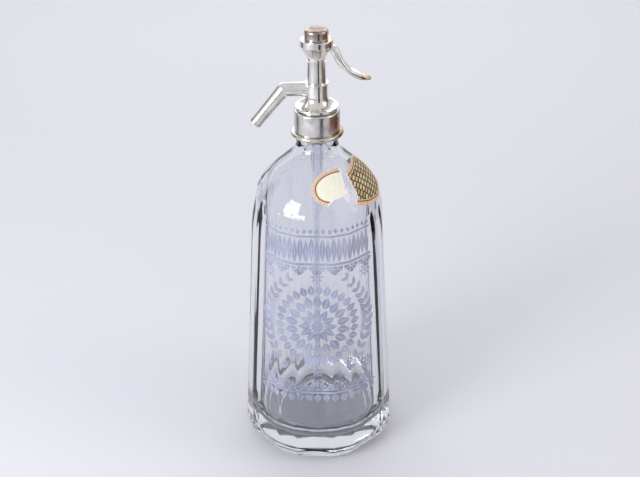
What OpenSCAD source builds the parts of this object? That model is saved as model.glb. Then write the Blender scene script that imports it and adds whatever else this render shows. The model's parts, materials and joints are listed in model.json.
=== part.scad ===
// Soda siphon: a faceted glass bottle with a plated brass head, a bent spout
// and a sprung valve that a side lever lifts.
// The origin is the centre of the foot. The spout points to -X, the lever to +X.

/* [Bottle] */
// Radius of the foot, at the corners between the flats
foot_r = 50.3; // [46:0.5:53]
// Height of the heel, where the foot's slope meets the barrel
heel_z = 10; // [8:0.5:12]
// Radius at the heel, at the corners between the flats
heel_r = 57.8; // [55:0.1:62]
// Rounding of the heel
heel_round = 8.5; // [5:0.5:10]
// Height where the barrel's line meets the shoulder's line
shoulder_z = 207; // [190:0.5:212]
// Radius where the barrel's line meets the shoulder's line
shoulder_r = 45.7; // [43:0.1:49]
// Rounding of the shoulder
shoulder_round = 44; // [30:1:46]
// Height where the shoulder's line meets the neck
neck_z = 236; // [233:0.5:239]
// Radius of the glass neck
neck_r = 14; // [13.6:0.1:14.6]
// Rounding between shoulder and neck
neck_round = 12; // [9:1:16]
// Height of the ledge that carries the neck ring
ledge_z = 245.2; // [244.5:0.1:255]
// Thickness of the glass behind the wide flats
wall = 5.5; // [4:0.5:7]
// Thickness of the glass floor
floor_t = 14; // [10:0.5:18]
// Rounding inside the floor
floor_round = 22; // [14:1:26]
// Depth of the hollow under the foot
punt_depth = 2.5; // [1.5:0.5:4]
// Radius of the hollow under the foot
punt_r = 38; // [32:1:42]
// Radius of the bottle's mouth
mouth_r = 7; // [6.5:0.1:7.5]

/* [Flats] */
// Number of wide flats round the barrel, with a narrow one between each two
flat_count = 8; // [6:1:9]
// Share of the wide flat in each pair, as an angle
wide_angle = 30.5; // [26:0.5:32]
// Turn of the first wide flat away from the front
flat_turn = -3.4; // [-10:0.1:10]
// Height of the arched top of a wide flat
wide_top_z = 208; // [204:0.5:211]
// Height of the arched top of a narrow flat
narrow_top_z = 205; // [202:0.5:209]
// Softening of the corners between the flats
corner_soft = 0.14; // [0.08:0.01:0.3]

/* [Neck finish] */
// Radius of the groove under the lip
groove_r = 10.2; // [9.5:0.1:10.6]
// Height of the groove under the lip
groove_h = 5.8; // [5.6:0.1:7]
// Radius of the lip
lip_r = 12.2; // [11.6:0.1:12.5]
// Height of the lip
lip_h = 5.5; // [4:0.5:7]
// How far the neck ring's bead stands out past the collar
ring_over = 2.45; // [1.5:0.05:3]
// Height of the neck ring
ring_h = 3; // [2.5:0.1:3.4]
// Wall of the collar, outside its thread
collar_wall = 1.76; // [1.5:0.02:2.4]
// Height of the collar
collar_h = 15; // [14:0.1:16.4]
// Thickness of the collar's inner flange, under the split ring
collar_flange_t = 1.4; // [1:0.1:1.5]
// Radius of the thread that joins the collar and the head
thread_r = 13.6; // [13.2:0.1:14]
// Thickness of the rubber washer on the lip
mouth_washer_t = 1.3; // [1:0.1:2]

/* [Head] */
// How far the bell's rim stands back from the collar
bell_back = 0.6; // [0.2:0.1:1]
// Height of the bell's rim
bell_h = 1.9; // [1.5:0.1:3]
// Radius of the bell's neck, round the spout
bell_neck_r = 7.5; // [7.2:0.1:8.2]
// Height of the bead's top on the bell's neck, over the head's underside
bell_top = 24.2; // [23.5:0.1:25.5]
// Height of the bead on the bell's neck
bead_h = 1.1; // [0.8:0.1:1.5]
// Radius of the column at its top
column_r = 6; // [5.9:0.1:6.6]
// How much wider the column is at its foot
column_taper = 0.4; // [0.2:0.1:0.8]
// Height of the thin line round the column, over the head's underside
line_rise = 38.8; // [36:0.1:40]
// Height where the column meets the funnel, over the head's underside
funnel_rise = 41.4; // [41:0.1:43]
// Height of the flange that carries the cap
flange_h = 3.9; // [3:0.1:4.5]
// Radius of the flange that carries the cap
flange_r = 10.9; // [10.9:0.1:12]
// Height of the flange's top, over the head's underside
flange_rise = 53.4; // [53:0.1:55]
// Radius of the cap
cap_r = 7.9; // [7.6:0.05:8.8]
// Height of the cap over its washer
cap_h = 6.4; // [5.8:0.1:9]
// Thickness of the cap's top
cap_t = 1.5; // [1:0.1:2]
// Thickness of the cap's washer
cap_washer_t = 0.4; // [0.3:0.1:0.8]

/* [Spout] */
// Height of the spout's centre line, over the head's underside
spout_rise = 19.2; // [18.5:0.1:20]
// Distance from the column's axis to the spout's knee
spout_reach = 21.7; // [19:0.1:26]
// Slope of the spout's outer leg below level
spout_angle = 51; // [40:1:62]
// Length of the spout's outer leg
spout_leg = 31; // [27:0.5:40]
// Radius of the spout at its root
spout_root_r = 4.9; // [4.7:0.1:5.2]
// Radius of the spout at its knee
spout_knee_r = 4.7; // [4.4:0.1:4.7]
// Radius of the nozzle
nozzle_r = 4.1; // [3.7:0.05:4.35]
// Length of the nozzle's straight end
nozzle_length = 8; // [6:0.5:10]
// Radius of the passage through the spout
spout_bore_r = 2.4; // [1.8:0.1:2.6]

/* [Valve] */
// Radius of the valve chamber
chamber_r = 4.2; // [4:0.1:4.3]
// Height of the valve seat, over the head's underside
seat_rise = 11.2; // [10.5:0.1:12]
// Radius of the seat's hole
seat_hole_r = 2.2; // [1.8:0.1:2.5]
// Radius of the spindle
spindle_r = 1.7; // [1.5:0.05:1.8]
// Radius of the rubber valve disc
disc_r = 3.1; // [2.9:0.05:3.2]
// Thickness of the rubber valve disc
disc_t = 2.4; // [2:0.1:3]
// Height of the packing
packing_h = 3.4; // [2.5:0.1:3.6]
// Height of the gland nut
gland_h = 4.4; // [3.5:0.1:5]
// Thickness of the web under the packing
web_t = 2; // [1.5:0.1:2.5]
// Radius of the lever's chamber in the top of the head
well_r = 5; // [4.8:0.05:5.1]
// Radius of the collar that the lever lifts
lift_r = 3.5; // [3:0.1:3.8]
// Height of the collar that the lever lifts
lift_h = 1.6; // [1:0.1:1.9]
// Thickness of the seat under the spring
spring_seat_t = 0.6; // [0.4:0.1:0.9]
// Diameter of the spring's wire
spring_wire = 0.7; // [0.5:0.05:0.75]
// Number of turns in the spring
spring_turns = 5; // [4:0.5:5]
// Mean radius of the spring
spring_r = 3.5; // [3.2:0.1:3.8]

/* [Lever] */
// Distance from the spindle's axis to the lever's pin
pivot_x = 6.6; // [6.4:0.1:7]
// Height of the lever's pin below the flange's top
pivot_drop = 5.3; // [5.1:0.1:5.4]
// Radius of the lever's pin
pin_r = 0.9; // [0.8:0.05:1]
// Length of the lever's pin
pin_length = 14.8; // [14:0.1:16]
// Distance from the pin to the lever's tip, along X
lever_reach = 29.4; // [26:0.1:40]
// Distance from the pin down to the lever's tip
lever_fall = 21.6; // [18:0.1:24]
// Width of the lever's neck
neck_w = 6; // [5.6:0.1:6.2]
// Width of the lever's blade
blade_w = 9.8; // [8:0.1:13]
// Radius of the lever's eye
eye_r = 1.9; // [1.8:0.05:1.95]
// Thickness of the lever's fork
fork_t = 2.4; // [2:0.1:2.5]

/* [Dip tube] */
// Outer radius of the glass dip tube
tube_r = 4; // [3.6:0.1:4.2]
// Bore radius of the glass dip tube
tube_bore_r = 2.4; // [2:0.1:2.6]
// Gap between the dip tube and the bottle's floor
tube_gap = 5; // [3:0.5:12]
// Radius of the dip tube's flange
tube_flange_r = 6.2; // [5.8:0.1:6.5]
// Thickness of the dip tube's flange
tube_flange_t = 1.7; // [1.3:0.1:2]
// Thickness of the dip tube's washer
tube_washer_t = 1.4; // [1:0.1:1.6]
// Radius of the thread of the dip tube's nut
tube_nut_r = 7.5; // [7.2:0.1:7.8]

/* [Labels] */
// Thickness of the label paper
paper_t = 0.2; // [0.15:0.05:0.4]
// Turn of the left label from the front
left_turn = 14; // [0:1:20]
// Turn of the right label from the front
right_turn = 58; // [50:1:64]

/* [Clearances] */
// Radial gap of a thread or a pushed fit
fit_gap = 0.04; // [0.02:0.01:0.05]
// Radial gap of a running fit
run_gap = 0.06; // [0.03:0.01:0.1]
// Gap between a loose ring and what it passes over
pass_gap = 0.25; // [0.15:0.05:0.3]
// Gap each side of the lever in its slot
side_gap = 0.2; // [0.15:0.05:0.3]
// Gap between the lever's fork and the collar that it lifts
lift_gap = 0.15; // [0.12:0.01:0.2]

/* [Hidden] */

$fn = 72;
far = 400;

plated = [0.80, 0.80, 0.79];
bright = [0.86, 0.85, 0.82];
brass = [0.72, 0.58, 0.32];
rubber = [0.13, 0.12, 0.12];
clear_glass = [0.72, 0.75, 0.82, 0.4];
paper = [0.86, 0.72, 0.56];
gilt_paper = [0.62, 0.45, 0.26];

// ---- Outline helpers

function unit(v) = v / norm(v);
function turned(v, a) = [v.x * cos(a) - v.y * sin(a), v.x * sin(a) + v.y * cos(a)];
function flat2(p) = [p[0], p[1]];

// The arc that rounds the corner b, between a and c
function bend(a, b, c, r, steps) =
    let (
        u = unit(a - b),
        v = unit(c - b),
        half = acos(u * v) / 2,
        centre = b + unit(u + v) * r / sin(half),
        start = b + u * r / tan(half) - centre,
        side = sign(cross(start, -u)),
        turn = 180 - 2 * half
    )
    [for (i = [0:steps]) centre + turned(start, side * turn * i / steps)];

// A path through corners [x, y, rounding], where no rounding means a sharp corner
function smooth_path(corners, steps = 6) = [
    for (i = [0:len(corners) - 1])
        each (i == 0 || i == len(corners) - 1 || len(corners[i]) < 3)
            ? [flat2(corners[i])]
            : bend(flat2(corners[i - 1]), flat2(corners[i]), flat2(corners[i + 1]),
                corners[i][2], steps)
];

module turned_solid(corners, steps = 6)
    rotate_extrude() polygon(smooth_path(corners, steps));

// A ring or disc from z0 to z1
module ring(outer, inner, z0, z1)
    difference() {
        translate([0, 0, z0]) cylinder(r = outer, h = z1 - z0);
        translate([0, 0, z0 - 1]) cylinder(r = inner, h = z1 - z0 + 2);
    }

module bore(r, z0, z1)
    translate([0, 0, z0]) cylinder(r = r, h = z1 - z0);

// ---- Bottle

pair_angle = 360 / flat_count;
narrow_angle = pair_angle - wide_angle;
barrel_lean = (heel_r - shoulder_r) / (shoulder_z - heel_z);
shoulder_slope = (shoulder_r - neck_r) / (neck_z - shoulder_z);

// The inner barrel and shoulder lie one wall inside the outer ones
wide_inset = cos(wide_angle / 2);
inner_lean = barrel_lean * wide_inset;
inner_heel_r = heel_r * wide_inset - wall;
slope_length = sqrt(1 + shoulder_slope * shoulder_slope);
inner_shoulder_base = shoulder_r - wall * slope_length;
inner_meet = (inner_shoulder_base - inner_heel_r + inner_lean * (shoulder_z - heel_z))
    / (shoulder_slope - inner_lean);
inner_shoulder_z = shoulder_z + inner_meet;
inner_shoulder_r = inner_shoulder_base - shoulder_slope * inner_meet;
inner_neck_z = shoulder_z + (inner_shoulder_base - mouth_r) / shoulder_slope;

lip_z = ledge_z + groove_h;
mouth_z = lip_z + lip_h;
edge_round = 1.2;

function outer_path(grow) = smooth_path([
    [foot_r + grow, 0],
    [heel_r + grow, heel_z, heel_round],
    [shoulder_r + grow, shoulder_z, shoulder_round],
    [neck_r + grow, neck_z, neck_round],
    [neck_r + grow, ledge_z]], 12);

// The same points as height and radius, to look a radius up by height
function radius_at(z) = lookup(z, [for (p = outer_path(0)) [p.y, p.x]]);

// What a flat takes off: everything outside the barrel's line, seen from the side.
// half is half the flat's angle, and the flat leans in to end in an arch at top_z.
module flat_cut(half, top_z, grow) {
    inset = cos(half);
    lean_z = top_z - shoulder_round / 2;
    lean_r = (heel_r - barrel_lean * (lean_z - heel_z)) * inset;
    run_out = 1.3;
    top = [lean_r + (radius_at(top_z) - lean_r) * run_out,
        lean_z + (top_z - lean_z) * run_out];
    edge = smooth_path([[foot_r * inset, -1], [foot_r * inset, 0],
        [heel_r * inset, heel_z, heel_round], [lean_r, lean_z, 2 * shoulder_round], top], 8);
    outside = 2 * heel_r;
    rotate([90, 0, 0]) linear_extrude(heel_r, center = true)
        polygon(concat([for (p = edge) [p.x + grow, p.y]],
            [[outside, top.y], [outside, -1]]));
}

module glass_outside(grow = 0)
    difference() {
        rotate_extrude() polygon(concat([[0, 0]],
            outer_path(grow - corner_soft), [[0, ledge_z]]));
        for (i = [0:flat_count - 1]) rotate(flat_turn - 90 + i * pair_angle) {
            flat_cut(wide_angle / 2, wide_top_z, grow);
            rotate(pair_angle / 2) flat_cut(narrow_angle / 2, narrow_top_z, grow);
        }
    }

module bottle() color(clear_glass)
    difference() {
        union() {
            glass_outside();
            bore(groove_r, neck_z, mouth_z - 1);
            turned_solid([[0, lip_z], [lip_r, lip_z, edge_round / 2],
                [lip_r, mouth_z, edge_round], [0, mouth_z]]);
        }
        turned_solid([[0, floor_t], [inner_heel_r, floor_t, floor_round],
            [inner_shoulder_r, inner_shoulder_z, shoulder_round - wall],
            [mouth_r, inner_neck_z, neck_round - wall],
            [mouth_r, mouth_z + 1], [0, mouth_z + 1]], 8);
        turned_solid([[0, -1], [punt_r + punt_depth, -1], [punt_r, punt_depth, floor_round / 2],
            [0, punt_depth]]);
    }

// ---- Neck finish

loose_r = lip_r + pass_gap;
collar_r = thread_r + fit_gap + collar_wall;
ring_r = collar_r + ring_over;
collar_z = ledge_z + ring_h;
collar_top = collar_z + collar_h;
head_z = mouth_z + mouth_washer_t;

module neck_ring() color(plated)
    turned_solid([[loose_r, ledge_z], [ring_r, ledge_z, 1.3],
        [ring_r, collar_z, 1.3], [loose_r, collar_z]]);

// Two half rings that sit in the groove, so that they can pass the lip
split_gap = 0.4;
module split_ring() color(brass)
    difference() {
        ring(thread_r - pass_gap, groove_r + pass_gap, collar_z + collar_flange_t, lip_z);
        translate([-far / 2, -split_gap / 2, 0]) cube([far, split_gap, far]);
    }

module collar() color(plated)
    difference() {
        turned_solid([[0, collar_z], [collar_r, collar_z, 0.4],
            [collar_r, collar_top, 1.5], [0, collar_top]]);
        bore(loose_r, collar_z - 1, collar_top);
        bore(thread_r + fit_gap, collar_z + collar_flange_t, collar_top + 1);
    }

module mouth_washer() color(rubber)
    ring(lip_r - pass_gap, tube_nut_r + pass_gap, mouth_z, head_z);

// ---- Dip tube and its fixing

seat_bush_h = 5;
nut_h = seat_rise - seat_bush_h - tube_washer_t - tube_flange_t;
tube_top_z = head_z + nut_h + tube_flange_t;
tube_seat_z = tube_top_z + tube_washer_t;

module dip_tube() color(clear_glass)
    difference() {
        union() {
            bore(tube_r, floor_t + tube_gap, tube_top_z);
            bore(tube_flange_r, tube_top_z - tube_flange_t, tube_top_z);
        }
        bore(tube_bore_r, 0, tube_top_z + 1);
    }

module tube_washer() color(rubber)
    ring(tube_nut_r - pass_gap, tube_bore_r, tube_top_z, tube_seat_z);

module tube_nut() color(brass)
    ring(tube_nut_r - fit_gap, tube_r + pass_gap, head_z, head_z + nut_h);

// ---- Head

bell_r = collar_r - bell_back;
seat_z = head_z + seat_rise;
spout_z = head_z + spout_rise;
bell_top_z = head_z + bell_top;
line_z = head_z + line_rise;
flange_z = head_z + flange_rise;
rim_z = collar_top + 1;
rim_top_z = rim_z + bell_h;
bead_r = bell_neck_r + 0.5;
web_z = seat_z + 12;
packing_z = web_z + web_t;
packing_washer_t = 0.8;
gland_z = packing_z + packing_h + packing_washer_t;
well_z = gland_z + gland_h + 4;

// The spout's boss stands out past the bell's flare, to give the spout a flat seat
flare = bell_r - bell_neck_r - 0.7;
boss_r = spout_root_r + 0.15;
boss_over_flare = min(flare, max(0, rim_top_z + flare - spout_z + boss_r));
boss_x = bell_neck_r + flare - sqrt(flare * flare - boss_over_flare * boss_over_flare) + 0.2;
boss_bore_r = spout_root_r - 1.5;

cap_thread_r = well_r + 1.1;
cap_thread_h = 2.7;
pivot_z = flange_z - pivot_drop;
slot_top = pivot_z + eye_r + side_gap;
slot_bottom = pivot_z - 4.4;
slot_w = neck_w + 2 * side_gap;

module head_body() color(bright)
    difference() {
        union() {
            turned_solid([[0, head_z], [thread_r, head_z], [thread_r, collar_top - 0.4],
                [thread_r - 0.4, collar_top - 0.4], [thread_r - 0.4, rim_z],
                [bell_r, rim_z, 0.5], [bell_r, rim_top_z, 0.6],
                [bell_neck_r, rim_top_z, flare],
                [bell_neck_r, bell_top_z - bead_h], [bead_r, bell_top_z - bead_h, 0.4],
                [bead_r, bell_top_z, 0.4], [column_r + column_taper, bell_top_z],
                [column_r, line_z - 0.4], [column_r + 0.4, line_z - 0.2],
                [column_r + 0.4, line_z + 0.2], [column_r, line_z + 0.4],
                [column_r, head_z + funnel_rise, 4],
                [flange_r, flange_z - flange_h, 0.8], [flange_r, flange_z, 0.6],
                [0, flange_z]], 8);
            translate([-boss_x, 0, spout_z]) rotate([0, 90, 0])
                cylinder(r = boss_r, h = boss_x - chamber_r);
        }
        // the flat seat at the end of the boss
        translate([-boss_x, 0, spout_z]) rotate([0, -90, 0]) cylinder(r = boss_r, h = far);
        // from below: the nut's thread, the seat's bush and the valve chamber
        bore(tube_nut_r, head_z - 1, tube_seat_z);
        bore(chamber_r, head_z, web_z);
        bore(spindle_r + 2 * run_gap, head_z, flange_z);
        // from above: the packing, the lever's chamber and the cap's thread
        bore(chamber_r, packing_z, flange_z);
        bore(well_r, well_z, flange_z);
        bore(cap_thread_r, flange_z - cap_thread_h - 0.3, flange_z + 1);
        translate([-boss_x - 1, 0, spout_z]) rotate([0, 90, 0])
            cylinder(r = boss_bore_r, h = boss_x + 1);
        translate([0, -slot_w / 2, slot_bottom]) cube([far, slot_w, slot_top - slot_bottom]);
        translate([pivot_x, 0, pivot_z]) rotate([90, 0, 0])
            cylinder(r = pin_r + fit_gap / 2, h = far, center = true);
    }

module seat_bush() color(brass)
    difference() {
        turned_solid([[0, tube_seat_z], [chamber_r - fit_gap, tube_seat_z],
            [chamber_r - fit_gap, seat_z - 0.8], [seat_hole_r + 0.9, seat_z - 0.8],
            [seat_hole_r + 0.6, seat_z], [0, seat_z]]);
        bore(seat_hole_r, tube_seat_z - 1, seat_z + 1);
    }

// ---- Spout: a level stub, a round knee and a tapering leg with a straight end

leg_taper = spout_leg - nozzle_length;
spigot_l = boss_x - chamber_r - 0.6;

module spout() color(bright)
    difference() {
        union() {
            translate([-boss_x, 0, spout_z]) rotate([0, -90, 0])
                cylinder(r1 = spout_root_r, r2 = spout_knee_r, h = spout_reach - boss_x);
            translate([-spout_reach, 0, spout_z]) {
                rotate([0, 90, 0]) sphere(r = spout_knee_r);
                rotate([0, -90 - spout_angle, 0]) {
                    cylinder(r1 = spout_knee_r, r2 = nozzle_r, h = leg_taper);
                    translate([0, 0, leg_taper]) cylinder(r = nozzle_r, h = nozzle_length);
                }
            }
            translate([-boss_x, 0, spout_z]) rotate([0, 90, 0])
                cylinder(r = boss_bore_r - fit_gap, h = spigot_l);
        }
        translate([-spout_reach, 0, spout_z]) {
            rotate([0, 90, 0]) sphere(r = spout_bore_r);
            rotate([0, 90, 0]) cylinder(r = spout_bore_r, h = spout_reach);
            rotate([0, -90 - spout_angle, 0]) cylinder(r = spout_bore_r, h = spout_leg + 1);
        }
    }

// ---- Valve, all on the spindle

disc_z = seat_z + 0.1;
cup_r = disc_r + 0.5;
cup_floor_z = disc_z + disc_t;
cup_top_z = cup_floor_z + 1.6;
fork_z = pivot_z - 0.3;
lift_z = fork_z + fork_t / 2 + lift_gap;
spring_seat_z = lift_z + lift_h;
spring_z = spring_seat_z + spring_seat_t;
cap_z = flange_z + cap_washer_t;
cap_roof_z = cap_z + cap_h - cap_t;
spindle_top_z = cap_roof_z - 3.4;

module valve_disc() color(rubber)
    bore(disc_r, disc_z, cup_floor_z);

module valve_cup() color(brass)
    difference() {
        turned_solid([[0, disc_z + 0.9], [cup_r, disc_z + 0.9], [cup_r, cup_top_z, 0.6],
            [0, cup_top_z]]);
        bore(disc_r + fit_gap, disc_z, cup_floor_z);
        bore(spindle_r + fit_gap, disc_z, cup_top_z + 1);
    }

module spindle() color(bright)
    turned_solid([[0, cup_floor_z], [spindle_r, cup_floor_z],
        [spindle_r, spindle_top_z, 0.5], [0, spindle_top_z]]);

module packing() color(rubber)
    ring(chamber_r - fit_gap, spindle_r + run_gap, packing_z, packing_z + packing_h);

module packing_washer() color(brass)
    ring(chamber_r - fit_gap, spindle_r + run_gap, packing_z + packing_h, gland_z);

module gland_nut() color(brass)
    difference() {
        ring(chamber_r - fit_gap, spindle_r + run_gap, gland_z, gland_z + gland_h);
        translate([-far / 2, -0.6, gland_z + gland_h - 1.2]) cube([far, 1.2, 2]);
    }

module lift_collar() color(brass)
    ring(lift_r, spindle_r + fit_gap, lift_z, spring_seat_z);

module spring_seat() color(brass)
    ring(spring_r + 0.6, spindle_r + fit_gap, spring_seat_z, spring_z);

// The spring is one tube wound on a helix, with six-sided rings
ring_sides = 6;
rings_per_turn = 8;
ring_count = round(spring_turns * rings_per_turn);
spring_low = spring_z + 0.05 + spring_wire / 2;
spring_high = cap_roof_z - 0.05 - spring_wire / 2;
spring_pitch = (spring_high - spring_low) / spring_turns;
function spring_point(i, k) =
    let (
        a = 360 * i / rings_per_turn,
        t = 360 * k / ring_sides,
        r = spring_r + spring_wire / 2 * cos(t)
    )
    [r * cos(a), r * sin(a),
        spring_low + spring_pitch * i / rings_per_turn + spring_wire / 2 * sin(t)];

module valve_spring() color(bright)
    polyhedron(
        points = [for (i = [0:ring_count], k = [0:ring_sides - 1]) spring_point(i, k)],
        faces = concat(
            [[for (k = [0:ring_sides - 1]) k]],
            [for (i = [0:ring_count - 1], k = [0:ring_sides - 1], half = [0, 1])
                let (
                    next = (k + 1) % ring_sides,
                    a = i * ring_sides + k,
                    b = i * ring_sides + next,
                    c = a + ring_sides,
                    d = b + ring_sides
                )
                half == 0 ? [a, c, b] : [b, c, d]],
            [[for (k = [ring_sides - 1:-1:0]) ring_count * ring_sides + k]]));

// The least gap between neighbouring turns, measured on the helix's own points
function turn_gap() = min([for (i = [0:ring_count - rings_per_turn], k = [0:ring_sides - 1],
    m = [0:ring_sides - 1])
        norm(spring_point(i, k) - spring_point(i + rings_per_turn, m))]);
echo(spring_gap = turn_gap());

// ---- Cap

// The washer lies in a rebate under the cap, whose rim comes down round it
rebate_r = cap_r - 0.8;
cap_rim_z = flange_z + fit_gap;

module cap_washer() color(rubber)
    ring(rebate_r - fit_gap, cap_thread_r + pass_gap, flange_z, cap_z);

module top_cap() color(bright)
    difference() {
        turned_solid([[0, flange_z - cap_thread_h], [cap_thread_r - fit_gap, flange_z - cap_thread_h],
            [cap_thread_r - fit_gap, cap_z], [rebate_r, cap_z], [rebate_r, cap_rim_z],
            [cap_r, cap_rim_z, 0.3], [cap_r, cap_z + cap_h, 2], [0, cap_z + cap_h]]);
        bore(well_r - 0.3, flange_z - cap_thread_h - 1, cap_roof_z);
    }

// ---- Lever: an eye on the pin, a fork under the lifted collar and a curved blade

fork_slot_w = 2 * (spindle_r + pass_gap);
fork_end_x = spindle_r + 3 * pass_gap;

module lever_side()
    polygon(smooth_path([
        [0, eye_r],
        [flange_r + 2.1 - pivot_x, eye_r - 1, 3.5],
        [0.486 * lever_reach, -0.634 * lever_fall, 13],
        [lever_reach - 0.4, 0.9 - lever_fall, 0.8],
        [lever_reach - 0.2, -0.9 - lever_fall, 0.6],
        [0.684 * lever_reach, -0.8 - lever_fall, 14],
        [0.231 * lever_reach, -0.542 * lever_fall, 13],
        [3, -4, 1.5],
        [0, -eye_r]], 8));

module lever_plan() {
    clear_x = flange_r + 0.8 - pivot_x;
    full_x = clear_x + 3;
    end_x = lever_reach;
    half_neck = neck_w / 2;
    half_blade = blade_w / 2;
    polygon(smooth_path([[-1, -half_neck], [clear_x, -half_neck, 3], [full_x, -half_blade, 6],
        [end_x, -half_blade * 0.8, half_blade * 0.75], [end_x, half_blade * 0.8, half_blade * 0.75],
        [full_x, half_blade, 6], [clear_x, half_neck, 3], [-1, half_neck]]));
}

module lever() color(bright)
    difference() {
        union() {
            translate([pivot_x, 0, pivot_z]) intersection() {
                rotate([90, 0, 0]) linear_extrude(2 * blade_w, center = true) lever_side();
                translate([0, 0, -far / 2]) linear_extrude(far) lever_plan();
            }
            translate([pivot_x, 0, pivot_z]) rotate([90, 0, 0])
                cylinder(r = eye_r, h = neck_w, center = true);
            translate([0, -neck_w / 2, fork_z - fork_t / 2]) cube([pivot_x, neck_w, fork_t]);
            translate([0, 0, fork_z]) rotate([90, 0, 0])
                cylinder(r = fork_t / 2, h = neck_w, center = true);
        }
        translate([-far, -fork_slot_w / 2, 0]) cube([far + fork_end_x, fork_slot_w, far]);
        translate([pivot_x, 0, pivot_z]) rotate([90, 0, 0])
            cylinder(r = pin_r + run_gap, h = far, center = true);
    }

module lever_pin() color(brass)
    translate([pivot_x, 0, pivot_z]) rotate([90, 0, 0])
        cylinder(r = pin_r, h = pin_length, center = true);

// ---- Labels: torn paper, one sheet in two pieces, on the shoulder's round

glue_gap = 0.05;

// Seen square on, with x along the shoulder and y up its slope
left_outline = [[10.4, 13.2], [3.8, 12.2], [-1.3, 10.6], [-4.7, 9], [-8, 6.7], [-10.6, 3.5],
    [-11.8, -0.8], [-11.5, -5.3], [-9.5, -9], [-6.1, -11.6], [-2.5, -12.8], [0.2, -10.6],
    [3.3, -8.8], [6.2, -8.2], [13.1, -4.1], [10, -2.1], [11, 0.7], [10.5, 6.1]];
right_outline = [[-6.4, 9.9], [-1.1, 11], [4.7, 13.3], [11.2, 16.5], [18, 17], [23, 14],
    [25.2, 8], [25.2, 0], [23.5, -7.5], [20.5, -13], [16, -16.4], [11.3, -17.6], [4.8, -17.7],
    [-1.2, -17.1], [-6.1, -15.6], [-10.9, -13.4], [-14.7, -11.2], [-11.4, -8.1],
    [-10.2, -6.2], [-9.6, -2.4], [-8.7, 2.4], [-7.1, 7.4]];
sheet_reach = 30;

module label(outline, turn, at_z, tilt)
    intersection() {
        difference() {
            glass_outside(glue_gap + paper_t);
            glass_outside(glue_gap);
        }
        rotate(turn - 90) translate([radius_at(at_z), 0, at_z]) rotate([0, 90 - tilt, 0])
            rotate(90) linear_extrude(sheet_reach, center = true) polygon(outline);
    }

label_z = shoulder_z + 12;

module label_left() color(paper)
    label(left_outline, left_turn, label_z + 1, 43);

module label_right() color(gilt_paper)
    label(right_outline, right_turn, label_z - 1, 40);

bottle();
neck_ring();
split_ring();
collar();
mouth_washer();
dip_tube();
tube_washer();
tube_nut();
head_body();
seat_bush();
spout();
valve_disc();
valve_cup();
spindle();
packing();
packing_washer();
gland_nut();
lift_collar();
spring_seat();
valve_spring();
cap_washer();
top_cap();
lever();
lever_pin();
label_left();
label_right();
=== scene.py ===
import json
import math

import bpy
import numpy as np
from mathutils import Matrix, Vector


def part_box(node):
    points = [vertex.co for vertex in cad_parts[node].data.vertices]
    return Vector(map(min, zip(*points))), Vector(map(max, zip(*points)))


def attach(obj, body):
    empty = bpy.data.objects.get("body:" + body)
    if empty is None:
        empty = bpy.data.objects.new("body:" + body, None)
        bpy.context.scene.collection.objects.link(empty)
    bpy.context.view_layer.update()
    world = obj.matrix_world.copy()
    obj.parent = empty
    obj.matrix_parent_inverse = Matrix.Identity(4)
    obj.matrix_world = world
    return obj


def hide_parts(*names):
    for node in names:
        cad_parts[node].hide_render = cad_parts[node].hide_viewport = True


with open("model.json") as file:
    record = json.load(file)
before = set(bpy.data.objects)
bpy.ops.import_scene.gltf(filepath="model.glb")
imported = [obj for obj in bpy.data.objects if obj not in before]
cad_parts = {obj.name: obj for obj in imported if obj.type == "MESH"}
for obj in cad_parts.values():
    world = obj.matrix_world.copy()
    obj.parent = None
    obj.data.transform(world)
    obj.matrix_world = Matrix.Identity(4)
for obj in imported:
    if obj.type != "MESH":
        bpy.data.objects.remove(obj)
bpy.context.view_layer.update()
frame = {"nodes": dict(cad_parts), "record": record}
mm = 0.001
tau = 2 * math.pi


# ---- small helpers

def linearColor(hexText):
    # sRGB hex to linear light, with the usual curve
    part = np.array([int(hexText[i:i + 2], 16) / 255 for i in (1, 3, 5)])
    low = part / 12.92
    high = ((part + 0.055) / 1.055) ** 2.4
    return (*np.where(part <= 0.04045, low, high).tolist(), 1.0)


def addNode(tree, kind, settings=None, inputs=None):
    # inputs maps a socket's name or number to a value, or to another node's output
    node = tree.nodes.new(kind)
    for name, value in (settings or {}).items():
        setattr(node, name, value)
    for name, value in (inputs or {}).items():
        if isinstance(value, bpy.types.NodeSocket):
            tree.links.new(value, node.inputs[name])
        else:
            node.inputs[name].default_value = value
    return node


def rampNode(tree, factor, stops):
    # stops are pairs of place and sRGB hex
    node = addNode(tree, "ShaderNodeValToRGB", inputs={"Fac": factor})
    elements = node.color_ramp.elements
    while len(elements) < len(stops):
        elements.new(1.0)
    for element, (place, hexText) in zip(elements, stops):
        element.position = place
        element.color = linearColor(hexText)
    return node.outputs["Color"]


def newMaterial(name):
    material = bpy.data.materials.new(name)
    material.use_nodes = True
    tree = material.node_tree
    return material, tree, tree.nodes["Principled BSDF"]


def roundedPath(corners, steps=8):
    # each corner is (x, y) or (x, y, radius); a radius puts an arc tangent to both sides
    points = []
    for i, corner in enumerate(corners):
        if i in (0, len(corners) - 1) or len(corner) < 3:
            points.append(np.array(corner[:2], float))
            continue
        before, here, after = (np.array(c[:2], float) for c in (corners[i - 1], corner, corners[i + 1]))
        u = (before - here) / np.linalg.norm(before - here)
        v = (after - here) / np.linalg.norm(after - here)
        half = math.acos(float(np.clip(u @ v, -1, 1))) / 2
        middle = here + (u + v) / np.linalg.norm(u + v) * corner[2] / math.sin(half)
        start = here + u * corner[2] / math.tan(half) - middle
        side = math.copysign(1, start[0] * -u[1] + start[1] * u[0])
        turn = side * (math.pi - 2 * half) * np.linspace(0, 1, steps + 1)
        points.extend(middle + np.stack([start[0] * np.cos(turn) - start[1] * np.sin(turn),
                                         start[0] * np.sin(turn) + start[1] * np.cos(turn)], 1))
    return np.array(points)


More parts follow.
